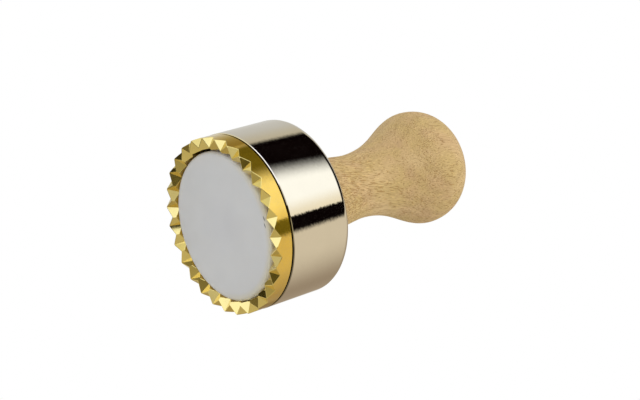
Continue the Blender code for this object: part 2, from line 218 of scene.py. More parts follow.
# Light that polished metal sees in the studio
TABLE_NEAR = (0.84, 0.74, 0.57)
TABLE_FAR = (0.405, 0.32, 0.225)
TABLE_FRONT = (0.68, 0.66, 0.60)
TABLE_CORNER = (0.46, 0.40, 0.27)
TABLE_SHADE = (0.42, 0.40, 0.32)
BACKDROP = (0.86, 0.84, 0.80)
WINDOW_HIGH = (1.40, 1.42, 1.38)
WINDOW_WARM = (1.16, 1.06, 0.82)
WINDOW_LOW = (1.40, 1.60, 2.30)
WINDOW_CORNER = (0.72, 0.76, 0.90)
WALL_NEAR = (0.66, 0.60, 0.46)
WALL_FAR = (0.68, 0.67, 0.63)
WALL_LOW = (0.90, 0.94, 0.88)
WALL_CORNER = (0.60, 0.62, 0.58)
GAP = (0.003, 0.001, 0.001)
BAR_LOW = (0.07, 0.06, 0.02)
WHITE = (1.0, 1.0, 1.0)

# Soft edges of that light, in degrees round the stamp
TABLE_FAR_EDGE = (-62.0, -133.0)
TABLE_CORNER_EDGE = (-98.0, -125.0)
BACKDROP_EDGE = (-164.0, -178.0)
WINDOW_WARM_EDGE = (10.0, -14.0)
WINDOW_CORNER_EDGE = (38.0, 30.0)
WALL_FAR_EDGE = (100.0, 135.0)
WALL_CORNER_EDGE = (132.0, 148.0)
# Soft edges in height, from -1 straight down to 1 straight up
TABLE_FRONT_TOP = (0.57, 0.40)
FOOT_TOP = (-0.5, -0.75)
WINDOW_LOW_TOP = (0.4, -0.6)
GAP_OVER_WINDOW = (0.72, 0.86)
GAP_FOOT = (0.2, 0.45)
WALL_LOW_TOP = (0.4, 0.1)
BAR_LOW_TOP = (-0.3, -0.7)
# Lines at which its parts begin or end: degrees, softness, and drift with height below a level
LINE_LEVEL = 0.6
TABLE_SHADE_START = (-52.0, 8.0)
BAR_START = (-34.0, 4.0, 11.0)
BAR_END = (-13.5, 1.5, 11.0)
WINDOW_END = (45.8, 15.5, 42.0)
WALL_START = (94.0, 6.0)
GAP_END = (101.3, 5.0)
# Soft light on everything else: its level, what it gains to the camera's right and top, its blue
SOFT_LEVEL = 0.88
SOFT_RIGHT = 0.37
SOFT_UP = 0.17
SOFT_BLUE = 0.98


def length(name, description, default):
    return FloatProperty(
        name=name, description=description, default=default, min=0.0, precision=5, unit="LENGTH"
    )


def colour(name, description, default):
    return FloatVectorProperty(
        name=name,
        description=description,
        default=default,
        size=3,
        min=0.0,
        max=1.0,
        subtype="COLOR",
    )


class StampSizes(bpy.types.PropertyGroup):
    teeth: IntProperty(name="Teeth", description="Teeth round the ring", default=28, min=6)
    ring_wall: length("Ring wall", "Wall of the brass ring at its bore", 4.0 * MM)
    crest_depth: length("Crest depth", "How far the inner tips lie inside the outer ones", 3.1 * MM)
    outer_groove: length("Outer groove", "Depth of the outer grooves at the rim", 2.15 * MM)
    inner_groove: length("Inner groove", "Depth of the inner grooves at the bore", 2.85 * MM)
    crest_blunting: length("Crest blunting", "How much the crests are blunted", 0.08 * MM)
    ring_edge: length("Ring edge", "Small edges broken on the teeth", 0.08 * MM)
    band_gap: length("Band gap", "Extra gap between the ring's band and the sleeve", 0.35 * MM)
    band_chamfer: length("Band chamfer", "Chamfer of the ring's band at the sleeve", 0.1 * MM)
    spigot_chamfer: length("Spigot chamfer", "Chamfer at the end of the ring's spigot", 0.5 * MM)
    sleeve_wall: length("Sleeve wall", "Wall of the plated sleeve", 1.2 * MM)
    sleeve_back: length("Sleeve back", "Thickness of the sleeve's back", 2.0 * MM)
    sleeve_front_chamfer: length("Front chamfer", "Chamfer of the sleeve's front lip", 0.2 * MM)
    sleeve_rear_rounding: length("Rear rounding", "Rounding of the sleeve's rear edge", 2.8 * MM)
    ejector_radius: length("Ejector radius", "Radius of the ejector's face", 25.45 * MM)
    ejector_sag: length("Ejector sag", "How far the ejector hangs to a side in its play", 0.44 * MM)
    ejector_rim: length("Ejector rim", "Rounding of the ejector's rim", 1.3 * MM)
    ejector_web: length("Ejector web", "Thickness of the ejector's face", 2.5 * MM)
    ejector_wall: length("Ejector wall", "Wall of the ejector's skirt", 2.0 * MM)
    ejector_flange: length("Ejector flange", "Thickness of the ejector's flange", 2.5 * MM)
    ejector_boss: length("Ejector boss", "Height of the boss that centres the spring", 3.0 * MM)
    rib_thickness: length("Rib thickness", "Thickness of the ribs behind the face", 1.4 * MM)
    rib_height: length("Rib height", "Height of the ribs behind the face", 6.0 * MM)
    wire_radius: length("Spring wire", "Radius of the spring's wire", 0.7 * MM)
    handle_chamfer: length("Handle chamfer", "Chamfer at the handle's base", 0.4 * MM)
    handle_base: length("Handle base", "Radius of the handle's base", 14.6 * MM)
    waist_radius: length("Waist radius", "Radius of the handle's waist", 11.5 * MM)
    waist_height: length("Waist height", "Height of the waist above the handle's base", 26.0 * MM)
    ball_height: length("Ball height", "Height of the ball above the handle's base", 56.7 * MM)


class StampColours(bpy.types.PropertyGroup):
    brass: colour("Brass", "Satin brass of the cutting ring's band", (0.74, 0.475, 0.02))
    cut_brass: colour("Cut brass", "Brighter brass of the cut facets", (0.74, 0.54, 0.085))
    plating: colour("Plating", "Warm nickel plating of the sleeve", (0.72, 0.68, 0.60))
    plastic: colour("Plastic", "White plastic of the ejector", (0.812, 0.808, 0.816))
    beech: colour("Beech", "Ground colour of the beech", (0.68, 0.475, 0.22))
    beech_warm: colour("Warm beech", "Pinkish heart tone of the beech", (0.60, 0.385, 0.185))
    beech_straw: colour("Straw beech", "Yellower tone of the beech", (0.62, 0.435, 0.165))
    beech_fleck: colour("Beech fleck", "Darker pores of the beech", (0.40, 0.205, 0.05))
    steel: colour("Steel", "Zinc-plated steel of stud, nut and washers", (0.60, 0.60, 0.58))
    spring_steel: colour("Spring steel", "Drawn wire of the spring", (0.47, 0.47, 0.46))
    floor: colour("Floor", "Pale floor of the studio", (0.86, 0.86, 0.85))


# Node helpers


def feed(tree, socket, value):
    """Link a socket to another, or give it a value; a colour is given as red, green and blue."""
    if isinstance(value, bpy.types.NodeSocket):
        tree.links.new(value, socket)
    elif socket.type == "RGBA":
        socket.default_value = (*value, 1.0)
    else:
        socket.default_value = value


def dress(tree, node, **values):
    """Feed the inputs of a node by their names, with underscores for spaces."""
    for name, value in values.items():
        feed(tree, node.inputs[name.replace("_", " ")], value)


def wire(tree, kind, *values, out=0, **settings):
    """Add a node, feed its inputs in order with sockets or values, and give one of its outputs."""
    made = tree.nodes.new(kind)
    for name, value in settings.items():
        setattr(made, name, value)
    for socket, value in zip(made.inputs, values):
        feed(tree, socket, value)
    return made.outputs[out]


def math(tree, operation, a, b=0.0):
    return wire(tree, "ShaderNodeMath", a, b, operation=operation)


def product(tree, a, b):
    return math(tree, "MULTIPLY", a, b)


def total(tree, *parts):
    """The sum of two or more sockets or values."""
    result = parts[0]
    for part in parts[1:]:
        result = math(tree, "ADD", result, part)
    return result


def ramp(tree, value, low, high, start=0.0, end=1.0):
    """A smooth step of a value from low to high, put out from start to end."""
    ends = (value, low, high, start, end)
    return wire(tree, "ShaderNodeMapRange", *ends, interpolation_type="SMOOTHSTEP")


def between(tree, value, rise, fall):
    """1 between two soft ends and 0 past them; each end says where it is 0 and where it is 1."""
    return product(tree, ramp(tree, value, *rise), ramp(tree, value, *fall))


def mix(tree, factor, a, b, blend="MIX"):
    """A mix of two colours, each a socket or red, green and blue."""
    made = tree.nodes.new("ShaderNodeMix")
    made.data_type = "RGBA"
    made.blend_type = blend
    for index, value in ((0, factor), (6, a), (7, b)):
        feed(tree, made.inputs[index], value)
    return made.outputs[2]


def tinted(tree, shade, tint):
    """A colour multiplied by a tint."""
    return mix(tree, 1.0, shade, tint, "MULTIPLY")


def vector_math(tree, operation, *vectors, out=0):
    return wire(tree, "ShaderNodeVectorMath", *vectors, operation=operation, out=out)


def stretched(tree, vector, scales):
    return vector_math(tree, "MULTIPLY", vector, scales)


def dot(tree, vector, axis):
    return vector_math(tree, "DOT_PRODUCT", vector, axis, out=1)


def size_of(tree, vector):
    return vector_math(tree, "LENGTH", vector, out=1)


def parts_of(tree, vector):
    """The x, y and z of a vector."""
    made = tree.nodes.new("ShaderNodeSeparateXYZ")
    feed(tree, made.inputs[0], vector)
    return made.outputs


def noise(tree, vector, scale=1.0, detail=2.0, roughness=0.5):
    made = tree.nodes.new("ShaderNodeTexNoise")
    dress(tree, made, Vector=vector, Scale=scale, Detail=detail, Roughness=roughness)
    return made.outputs["Fac"]


def surface_place(tree):
    return tree.nodes.new("ShaderNodeTexCoord").outputs["Object"]


def surface_normal(tree):
    return tree.nodes.new("ShaderNodeNewGeometry").outputs["Normal"]


def axis_distance(tree, place):
    """How far a place lies from the stamp's axis."""
    return size_of(tree, stretched(tree, place, (1.0, 1.0, 0.0)))


def axis_turn(tree, place):
    """How many degrees round the stamp's axis a place lies."""
    x, y = parts_of(tree, place)[:2]
    return product(tree, math(tree, "ARCTAN2", x, y), -180 / pi)


# Effects that several materials share


def new_group(name, inputs, outputs):
    """A node group with inputs by name and default, outputs by name and kind, and its two ends."""
    group = bpy.data.node_groups.new(name, "ShaderNodeTree")
    for label, default in inputs.items():
        kind = "NodeSocketFloat" if isinstance(default, float) else "NodeSocketColor"
        group.interface.new_socket(label, in_out="INPUT", socket_type=kind).default_value = default
    for label, kind in outputs.items():
        group.interface.new_socket(label, in_out="OUTPUT", socket_type=kind)
    return group, group.nodes.new("NodeGroupInput").outputs, group.nodes.new("NodeGroupOutput")


def turning_lines():
    """Fine rings that a lathe or a polishing wheel leaves round the stamp's axis."""
    group, given, end = new_group(
        "turning_lines", {"Lines per mm": 6.0, "Waviness": 0.15}, {"Height": "NodeSocketFloat"}
    )
    place = surface_place(group)
    drift = product(group, noise(group, place, LINE_WANDER), given["Waviness"])
    shift = product(group, drift, MM)
    rings = wire(
        group,
        "ShaderNodeCombineXYZ",
        total(group, axis_distance(group, place), shift),
        total(group, parts_of(group, place)[2], shift),
    )
    scale = math(group, "DIVIDE", given["Lines per mm"], MM)
    dress(group, end, Height=noise(group, rings, scale, detail=3.0, roughness=0.6))
    return group


def polish_tilt():
    """A slight sideways tilt of the surface that changes from one fine turned line to the next."""
    group, given, end = new_group(
        "polish_tilt", {"Tilt": 0.1, "Lines per mm": 2.5}, {"Normal": "NodeSocketVector"}
    )
    x, y, z = parts_of(group, surface_place(group))
    place = wire(
        group,
        "ShaderNodeCombineXYZ",
        product(group, x, 1.0 / MM),
        product(group, y, 1.0 / MM),
        product(group, z, math(group, "DIVIDE", given["Lines per mm"], MM)),
    )
    wobble = math(group, "SUBTRACT", noise(group, place, detail=3.0, roughness=0.6), 0.5)
    facing = surface_normal(group)
    sideways = vector_math(group, "CROSS_PRODUCT", (0.0, 0.0, 1.0), facing)
    tilt = stretched(group, sideways, product(group, wobble, given["Tilt"]))
    tilted = vector_math(group, "ADD", facing, tilt)
    dress(group, end, Normal=vector_math(group, "NORMALIZE", tilted))
    return group


def handled_surface():
    """Faint smudges and tiny marks of use, as a roughness."""
    group, given, end = new_group(
        "handled_surface",
        {"Roughness": 0.2, "Smudges": 0.1, "Size in mm": 8.0},
        {"Roughness": "NodeSocketFloat"},
    )
    place = surface_place(group)
    scale = math(group, "DIVIDE", 1.0 / MM, given["Size in mm"])
    smudges = ramp(group, noise(group, place, scale, detail=4.0, roughness=0.6), *SMUDGE_EDGE)
    marks = noise(group, place, product(group, scale, FINE_MARKS))
    rise = product(group, product(group, smudges, marks), given["Smudges"])
    dress(group, end, Roughness=total(group, given["Roughness"], rise))
    return group


def tone_shift():
    """Slow drift of a colour towards another over the surface."""
    group, given, end = new_group(
        "tone_shift",
        {
            "Colour": (0.5, 0.5, 0.5, 1.0),
            "Other colour": (0.4, 0.4, 0.4, 1.0),
            "Size in mm": 10.0,
            "Amount": 0.5,
        },
        {"Colour": "NodeSocketColor"},
    )
    scale = math(group, "DIVIDE", 1.0 / MM, given["Size in mm"])
    drift = ramp(group, noise(group, surface_place(group), scale, detail=3.0), *TONE_EDGE)
    share = product(group, drift, given["Amount"])
    dress(group, end, Colour=mix(group, share, given["Colour"], given["Other colour"]))
    return group


EFFECTS = {
    "turning_lines": turning_lines,
    "polish_tilt": polish_tilt,
    "handled_surface": handled_surface,
    "tone_shift": tone_shift,
}


def place_effect(tree, name, **values):
    """Place a shared effect, built the first time that it is asked for, and give its outputs."""
    made = tree.nodes.new("ShaderNodeGroup")
    made.node_tree = bpy.data.node_groups.get(name) or EFFECTS[name]()
    dress(tree, made, **values)
    return made.outputs


def two_tones(tree, one, other, size, amount=0.5):
    """A colour that drifts towards another in patches of a size in mm."""
    return place_effect(
        tree, "tone_shift", Colour=one, Other_colour=other, Size_in_mm=size, Amount=amount
    )["Colour"]


def worn(tree, roughness, smudges, size):
    """A roughness that smudges raise, in patches of a size in mm."""
    return place_effect(
        tree, "handled_surface", Roughness=roughness, Smudges=smudges, Size_in_mm=size
    )["Roughness"]


# Materials


def new_material(name):
    material = bpy.data.materials.new(name)
    material.use_nodes = True
    return material, material.node_tree, material.node_tree.nodes["Principled BSDF"]


def darker(shade, share):
    return tuple(channel * share for channel in shade)


def raise_bump(tree, shader, height, distance, normal=None):
    bump = tree.nodes.new("ShaderNodeBump")
    dress(tree, bump, Strength=1.0, Distance=distance, Height=height)
    if normal:
        dress(tree, bump, Normal=normal)
    dress(tree, shader, Normal=bump.outputs["Normal"])


def turned_metal(name, shade, fading, roughness, lines, depth, smudges, tilt=0.0):
    """A turned or polished metal, whose lines run round the stamp's axis."""
    material, tree, shader = new_material(name)
    dress(
        tree,
        shader,
        Metallic=1.0,
        Base_Color=two_tones(tree, shade, darker(shade, fading), size=9.0),
        Roughness=worn(tree, roughness, smudges, size=7.0),
    )
    turning = place_effect(tree, "turning_lines", Lines_per_mm=lines, Waviness=0.2)
    polish = place_effect(tree, "polish_tilt", Tilt=tilt, Lines_per_mm=3.2)
    raise_bump(tree, shader, turning["Height"], depth, polish["Normal"])
    return material


def brass_material():
    """Lacquered brass: a satin turned band, and cut facets that shine more."""
    colours = bpy.context.scene.stamp_colours
    material, tree, shader = new_material("brass")
    satin = ramp(tree, parts_of(tree, surface_normal(tree))[2], *SATIN_EDGE)
    bright = mix(tree, satin, colours.cut_brass, colours.brass)
    faded_cuts = darker(colours.cut_brass, share=0.84)
    faded_band = darker(colours.brass, share=0.84)
    clean = two_tones(tree, bright, mix(tree, satin, faded_cuts, faded_band), size=6.0)

    place = surface_place(tree)
    turn = axis_turn(tree, place)
    # Two darkened patches on the band, with less lacquer: the upper one is a painted dark
    # reflection, the lower one darkens the band there
    patches = total(
        tree, between(tree, turn, *UPPER_PAINTED_DARK_REFLECTION), between(tree, turn, *LOWER_DARK_PATCH)
    )
    dark_patches = product(tree, patches, satin)
    patch_darkened = mix(tree, dark_patches, clean, tinted(tree, clean, BAND_PATCH_DARKENING))

    band = BAND_HEIGHT - bpy.context.scene.stamp_sizes.band_gap
    # Painted shade in the joint between band and sleeve: near black, without metal or lacquer
    in_joint = ramp(tree, parts_of(tree, place)[2], band - JOINT_SHADE_HEIGHT, band)
    joint_shade = product(tree, ramp(tree, axis_distance(tree, place), *JOINT_SHADE_EDGE), in_joint)
    unshaded_by_joint = ramp(tree, joint_shade, 1.0, 0.0)
    metal = ramp(tree, satin, 0.0, 1.0, METAL_OF_CUTS, METAL_OF_BAND)
    lacquer = ramp(tree, dark_patches, 0.0, 1.0, 1.0, LACQUER_ON_DARK_PATCHES)
    dress(
        tree,
        shader,
        Base_Color=mix(tree, joint_shade, patch_darkened, PAINTED_JOINT_SHADE),
        Metallic=product(tree, metal, unshaded_by_joint),
        Roughness=total(
            tree,
            worn(tree, roughness=0.07, smudges=0.08, size=7.0),
            product(tree, satin, SATIN_ROUGHNESS),
            product(tree, joint_shade, JOINT_SHADE_ROUGHNESS),
        ),
        Specular_Tint=GRAZING_TINT,
        Coat_Weight=product(tree, unshaded_by_joint, lacquer),
        Coat_IOR=LACQUER_IOR,
        Coat_Roughness=LACQUER_ROUGHNESS,
    )
    turning = place_effect(tree, "turning_lines", Lines_per_mm=9.0, Waviness=0.2)
    tilt = product(tree, satin, SATIN_TILT)
    polish = place_effect(tree, "polish_tilt", Tilt=tilt, Lines_per_mm=2.5)
    lines = product(tree, turning["Height"], satin)
    raise_bump(tree, shader, lines, distance=0.0008 * MM, normal=polish["Normal"])
    return material


def plating_material():
    """Polished plating, with a painted warm shine on the front lip's chamfer and painted shade
    along the lower part of that lip.
    """
    material = turned_metal(
        "plating",
        bpy.context.scene.stamp_colours.plating,
        fading=0.96,
        roughness=0.035,
        lines=6.0,
        depth=0.0004 * MM,
        smudges=0.03,
        tilt=0.06,
    )
    tree = material.node_tree
    shader = tree.nodes["Principled BSDF"]
    polished = shader.inputs["Base Color"].links[0].from_socket
    place = surface_place(tree)
    height = parts_of(tree, place)[2]
    lip = bpy.context.scene.stamp_sizes.sleeve_front_chamfer + SLEEVE_LOW.z
    # Painted shade on the lip at one side, and a painted warm shine on its chamfer
    near_lip = ramp(tree, height, lip + LIP_SHADE_FADE, lip)
    dull = product(tree, near_lip, between(tree, axis_turn(tree, place), *LIP_SHADE_SIDE))
    on_lip = ramp(tree, height, lip, lip - LIP_SHINE_FADE)
    lip_shine = mix(tree, on_lip, polished, PAINTED_LIP_SHINE)
    dress(tree, shader, Base_Color=mix(tree, dull, lip_shine, PAINTED_LIP_SHADE))
    return material


def steel_material(name, shade, roughness):
    return turned_metal(
        name, shade, fading=0.7, roughness=roughness, lines=5.0, depth=0.002 * MM, smudges=0.15
    )


def plastic_material():
    """White moulded plastic with a fine, slightly uneven satin surface."""
    shade = bpy.context.scene.stamp_colours.plastic
    material, tree, shader = new_material("white_plastic")
    face = two_tones(tree, shade, darker(shade, share=0.95), size=14.0, amount=0.6)
    place = surface_place(tree)
    for spot in SCUFFS:
        across = vector_math(tree, "SUBTRACT", place, Vector(spot) * MM)
        shares = stretched(tree, across, tuple(1.0 / (size * MM) for size in SCUFF_SIZE))
        scuff = ramp(tree, size_of(tree, shares), *SCUFF_EDGE, 0.0, SCUFF_STRENGTH)
        face = mix(tree, scuff, face, SCUFF_SHADE)

    radius = axis_distance(tree, place)
    # Painted shade, darker towards the middle of the face
    middle_shade = ramp(tree, radius, *MIDDLE_SHADE_EDGE)
    face = mix(tree, middle_shade, face, tinted(tree, face, PAINTED_MIDDLE_SHADE))
    at_side = ramp(tree, dot(tree, place, GLOW_SIDE), *GLOW_EDGE)
    glow = product(tree, ramp(tree, radius, *GLOW_RIM), at_side)
    dress(
        tree,
        shader,
        Base_Color=mix(tree, glow, face, tinted(tree, face, BRASS_GLOW)),
        Roughness=worn(tree, roughness=0.34, smudges=0.12, size=5.0),
        IOR=1.5,
        Subsurface_Weight=1.0,
        Subsurface_Radius=SOAK_BY_COLOUR,
        Subsurface_Scale=SOAK_DEPTH,
    )
    raise_bump(tree, shader, noise(tree, place, scale=6.0 / MM), distance=0.004 * MM)
    return material


def beech_material():
    """Sanded beech: growth rings, silky fibres and short dark pores along the grain."""
    colours = bpy.context.scene.stamp_colours
    material, tree, shader = new_material("beech")
    leaning = tree.nodes.new("ShaderNodeVectorRotate")
    dress(
        tree,
        leaning,
        Vector=surface_place(tree),
        Center=GRAIN_MIDDLE,
        Axis=GRAIN_LEAN_AXIS,
        Angle=GRAIN_LEAN,
    )
    place = leaning.outputs["Vector"]

    def marks(where, closeness, detail=2.0):
        return noise(tree, stretched(tree, where, closeness), detail=detail)

    bend = wire(tree, "ShaderNodeCombineXYZ", product(tree, marks(place, BENDS), BEND_REACH))
    bent = vector_math(tree, "ADD", place, bend)
    wander = product(tree, marks(place, WANDER), WANDER_REACH)
    rings = math(tree, "SINE", total(tree, dot(tree, bent, GROWTH), wander))
    fibres = marks(bent, FIBRES)
    pores = marks(bent, PORES, detail=1.0)
    silk = marks(bent, SILK, detail=1.0)
    patches = math(tree, "SUBTRACT", marks(place, PATCHES), 0.5)
    crowd = total(
        tree,
        ramp(tree, parts_of(tree, place)[2], *NECK, 0.0, NECK_CROWD),
        product(tree, patches, PATCH_CROWD),
        product(tree, rings, RING_CROWD),
    )
    pore_mask = ramp(tree, total(tree, pores, crowd), *PORE_EDGE)
    silk_mask = ramp(tree, total(tree, silk, crowd), *SILK_EDGE)

    warm = two_tones(tree, colours.beech, colours.beech_warm, size=15.0, amount=0.8)
    ground = two_tones(tree, warm, colours.beech_straw, size=9.0, amount=0.8)
    dusk = tinted(tree, ground, DUSK)
    ringed = mix(tree, ramp(tree, rings, *RING_EDGE, 0.0, RING_STRENGTH), ground, dusk)
    fibred = mix(tree, ramp(tree, fibres, *FIBRE_EDGE, 0.0, FIBRE_STRENGTH), ringed, dusk)
    silky = mix(tree, silk_mask, fibred, tinted(tree, fibred, PALE))
    flecks = product(tree, pore_mask, PORE_STRENGTH)
    dress(
        tree,
        shader,
        Base_Color=mix(tree, flecks, silky, colours.beech_fleck),
        Roughness=total(tree, BEECH_ROUGHNESS, product(tree, fibres, FIBRE_ROUGHNESS)),
        IOR=1.45,
    )
    relief = math(tree, "SUBTRACT", product(tree, fibres, FIBRE_HEIGHT), pore_mask)
    raise_bump(tree, shader, relief, distance=0.09 * MM)
    return material


# Mesh helpers


def mesh_object(name, bm, material, sharp_angle=SHARP_ANGLE):
    mesh = bpy.data.meshes.new(name)
    bm.to_mesh(mesh)
    bm.free()
    mesh.shade_smooth()
    mesh.set_sharp_from_angle(angle=sharp_angle)
    mesh.materials.append(material)
    obj = bpy.data.objects.new(name, mesh)
    bpy.context.scene.collection.objects.link(obj)
    return obj


def loft(sections):
    """A closed band of faces through closed sections of points, the last joined to the first."""
    bm = bmesh.new()
    loops = [[bm.verts.new(point) for point in section] for section in sections]
    for loop, following in zip(loops, loops[1:] + loops[:1]):
        for index, vert in enumerate(loop):
            bm.faces.new((vert, loop[index - 1], following[index - 1], following[index]))
    bmesh.ops.remove_doubles(bm, verts=bm.verts, dist=MERGE)
    bmesh.ops.dissolve_degenerate(bm, edges=bm.edges, dist=MERGE)
    bmesh.ops.recalc_face_normals(bm, faces=bm.faces)
    return bm


def swept(outline, angle):
    """An outline of (radius, height) points, turned to an angle round the axis."""
    return [(r * cos(angle), r * sin(angle), z) for r, z in outline]


def turned(outline, steps):
    """A turned solid from its closed outline of (radius, height) points."""
    return loft([swept(outline, 2 * pi * step / steps) for step in range(steps)])


def rounding(radius, height, size, start, end):
    """Points of a round about (radius, height), from one angle to the other."""
    points = []
    for step in range(ROUNDING_STEPS + 1):
        angle = start + (end - start) * step / ROUNDING_STEPS
        points.append((radius + size * cos(angle), height + size * sin(angle)))
    return points


def settle(piece, body, node):
    """Let a piece ride on its body and stand for its node, which is hidden."""
    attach(piece, body)
    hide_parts(node)


# Cutting ring


def flat_wall(*corners):
    """A flat groove wall through three corners, as a point and its upright normal."""
    a, b, c = (Vector(corner) for corner in corners)
    return a, (b - a).cross(c - a)


def wall_height(wall, radius, turn):
    """Height of a wall over the point at this radius and angle."""
    point, normal = wall
    across = normal.x * (radius * cos(turn) - point.x) + normal.y * (radius * sin(turn) - point.y)
    return point.z - across / normal.z


def wall_radius(wall, turn):
    """Radius at which a wall reaches the plane of the crests, at this angle."""
    point, normal = wall
    return normal.dot(point) / (normal.x * cos(turn) + normal.y * sin(turn))


def crown_walls(sizes):
    """The two flat walls of a half tooth, whose inner tip lies at angle 0."""
    half = pi / sizes.teeth
    bore = RING_RADIUS - sizes.ring_wall
    sunk = -sizes.crest_blunting
    inner_tip = (RING_RADIUS - sizes.crest_depth, 0.0, sunk)
    outer_tip = (RING_RADIUS * cos(half), RING_RADIUS * sin(half), sunk)
    rim_end = (RING_RADIUS, 0.0, sizes.outer_groove)
    bore_end = (bore * cos(half), bore * sin(half), sizes.inner_groove)
    return flat_wall(inner_tip, rim_end, outer_tip), flat_wall(inner_tip, outer_tip, bore_end)


def ring_section(sizes, turn):
    """The ring's closed outline at this angle from an inner tip, as (radius, height) points."""
    outer_wall, inner_wall = crown_walls(sizes)
    edge = sizes.ring_edge
    bore = RING_RADIUS - sizes.ring_wall
    spigot_end = RING_HIGH.z
    spigot = SLEEVE_RADIUS - sizes.sleeve_wall - SEAT_GAP
    chamfer = sizes.spigot_chamfer
    band = BAND_HEIGHT - sizes.band_gap
    return [
        (RING_RADIUS - sizes.band_chamfer, band),
        (RING_RADIUS, band - sizes.band_chamfer),
        (RING_RADIUS, max(0.0, wall_height(outer_wall, RING_RADIUS, turn)) + edge),
        (RING_RADIUS - edge, max(0.0, wall_height(outer_wall, RING_RADIUS - edge, turn))),
        (min(RING_RADIUS - edge, wall_radius(outer_wall, turn)), 0.0),
        (wall_radius(inner_wall, turn), 0.0),
        (bore + edge, wall_height(inner_wall, bore + edge, turn)),
        (bore, wall_height(inner_wall, bore, turn) + edge),
        (bore, spigot_end - chamfer),
        (bore + chamfer, spigot_end),
        (spigot - chamfer, spigot_end),
        (spigot, spigot_end - chamfer),
        (spigot, band),
    ]


class STAMP_OT_make_cutter_ring(bpy.types.Operator):
    """Model the brass ring with its crown of zigzag teeth"""

    bl_idname = "stamp.make_cutter_ring"
    bl_label = "Cutting Ring"
    bl_options = {"REGISTER", "UNDO"}

    def execute(self, context):
        sizes = context.scene.stamp_sizes
        half = pi / sizes.teeth
        sections = []
        for index in range(2 * sizes.teeth * HALF_TOOTH_STEPS):
            angle = half * index / HALF_TOOTH_STEPS
            past_inner_tip = angle % (2 * half)
            turn = min(past_inner_tip, 2 * half - past_inner_tip)
            sections.append(swept(ring_section(sizes, turn), angle + half))
        ring = mesh_object("brass_ring", loft(sections), brass_material(), CROWN_SHARP_ANGLE)
        settle(ring, STAMP, "cutter_ring")
        return {"FINISHED"}


class STAMP_OT_make_head_sleeve(bpy.types.Operator):
    """Model the plated sleeve with its rounded lips"""

    bl_idname = "stamp.make_head_sleeve"
    bl_label = "Sleeve"
    bl_options = {"REGISTER", "UNDO"}

    def execute(self, context):
        sizes = context.scene.stamp_sizes
        rear = sizes.sleeve_rear_rounding
        front = sizes.sleeve_front_chamfer
        bore = SLEEVE_RADIUS - sizes.sleeve_wall
        inside = SLEEVE_HIGH.z - sizes.sleeve_back
        outline = [(STUD_HOLE_RADIUS, SLEEVE_HIGH.z)]
        outline += rounding(SLEEVE_RADIUS - rear, SLEEVE_HIGH.z - rear, rear, pi / 2, 0.0)
        outline += [(SLEEVE_RADIUS, SLEEVE_LOW.z + front), (SLEEVE_RADIUS - front, SLEEVE_LOW.z)]
        outline += [(bore, SLEEVE_LOW.z), (bore, inside), (STUD_HOLE_RADIUS, inside)]
        sleeve = mesh_object("plated_sleeve", turned(outline, SLEEVE_STEPS), plating_material())
        settle(sleeve, STAMP, "head_sleeve")
        return {"FINISHED"}


# Ejector and spring


def ejector_outline(sizes):
    """The ejector's closed outline: a cup open towards the handle, with a flange and a boss."""
    face = EJECTOR_LOW.z
    radius = sizes.ejector_radius
    web = face + sizes.ejector_web
    flange = RING_HIGH.z + SEAT_GAP
    flange_end = flange + sizes.ejector_flange
    flange_radius = EJECTOR_HIGH.x - sizes.ejector_sag
    rim = sizes.ejector_rim
    washer = WASHER_HIGH.x
    outline = [
        (0.0, web + sizes.ejector_boss),
        (washer, web + sizes.ejector_boss),
        (washer, web),
        (radius - sizes.ejector_wall, web),
        (radius - sizes.ejector_wall, EJECTOR_HIGH.z),
        (radius, EJECTOR_HIGH.z),
        (radius, flange_end),
        (flange_radius, flange_end),
        (flange_radius, flange),
        (radius, flange),
    ]
    outline += rounding(radius - rim, face + rim, rim, 0.0, -pi / 2)
    outline.append((0.0, face))
    return outline


def add_ribs(ejector, sizes):
    """Join radial ribs to the back of the ejector's face."""
    inner = SPRING_HIGH.x + 2 * SEAT_GAP
    outer = sizes.ejector_radius - sizes.ejector_wall / 2
    foot = EJECTOR_LOW.z + sizes.ejector_web / 2
    top = EJECTOR_LOW.z + sizes.ejector_web + sizes.rib_height
    middle = ((inner + outer) / 2, 0.0, (foot + top) / 2)
    for index in range(RIBS):
        bm = bmesh.new()
        bmesh.ops.create_cube(bm, size=1.0)
        bmesh.ops.scale(bm, vec=(outer - inner, sizes.rib_thickness, top - foot), verts=bm.verts)
        bmesh.ops.translate(bm, vec=middle, verts=bm.verts)
        rib = mesh_object("rib_tool", bm, ejector.data.materials[0])
        rib.rotation_euler.z = 2 * pi * index / RIBS
        union = ejector.modifiers.new("rib", "BOOLEAN")
        union.operation = "UNION"
        union.object = rib
        graph = bpy.context.evaluated_depsgraph_get()
        mesh = bpy.data.meshes.new_from_object(ejector.evaluated_get(graph))
        ejector.modifiers.clear()
        ejector.data = mesh
        bpy.data.objects.remove(rib)


class STAMP_OT_make_ejector(bpy.types.Operator):
    """Model the white ejector with its rounded rim, flange and ribs"""

    bl_idname = "stamp.make_ejector"
    bl_label = "Ejector"
    bl_options = {"REGISTER", "UNDO"}

    def execute(self, context):
        sizes = context.scene.stamp_sizes
        bm = turned(ejector_outline(sizes), EJECTOR_STEPS)
        ejector = mesh_object("white_ejector", bm, plastic_material())
        add_ribs(ejector, sizes)
        ejector.data.shade_smooth()
        ejector.data.transform(Matrix.Translation(SAG_DIRECTION * sizes.ejector_sag))
        ejector.data.set_sharp_from_angle(angle=SHARP_ANGLE)
        settle(ejector, EJECTOR, "ejector_disc")
        return {"FINISHED"}


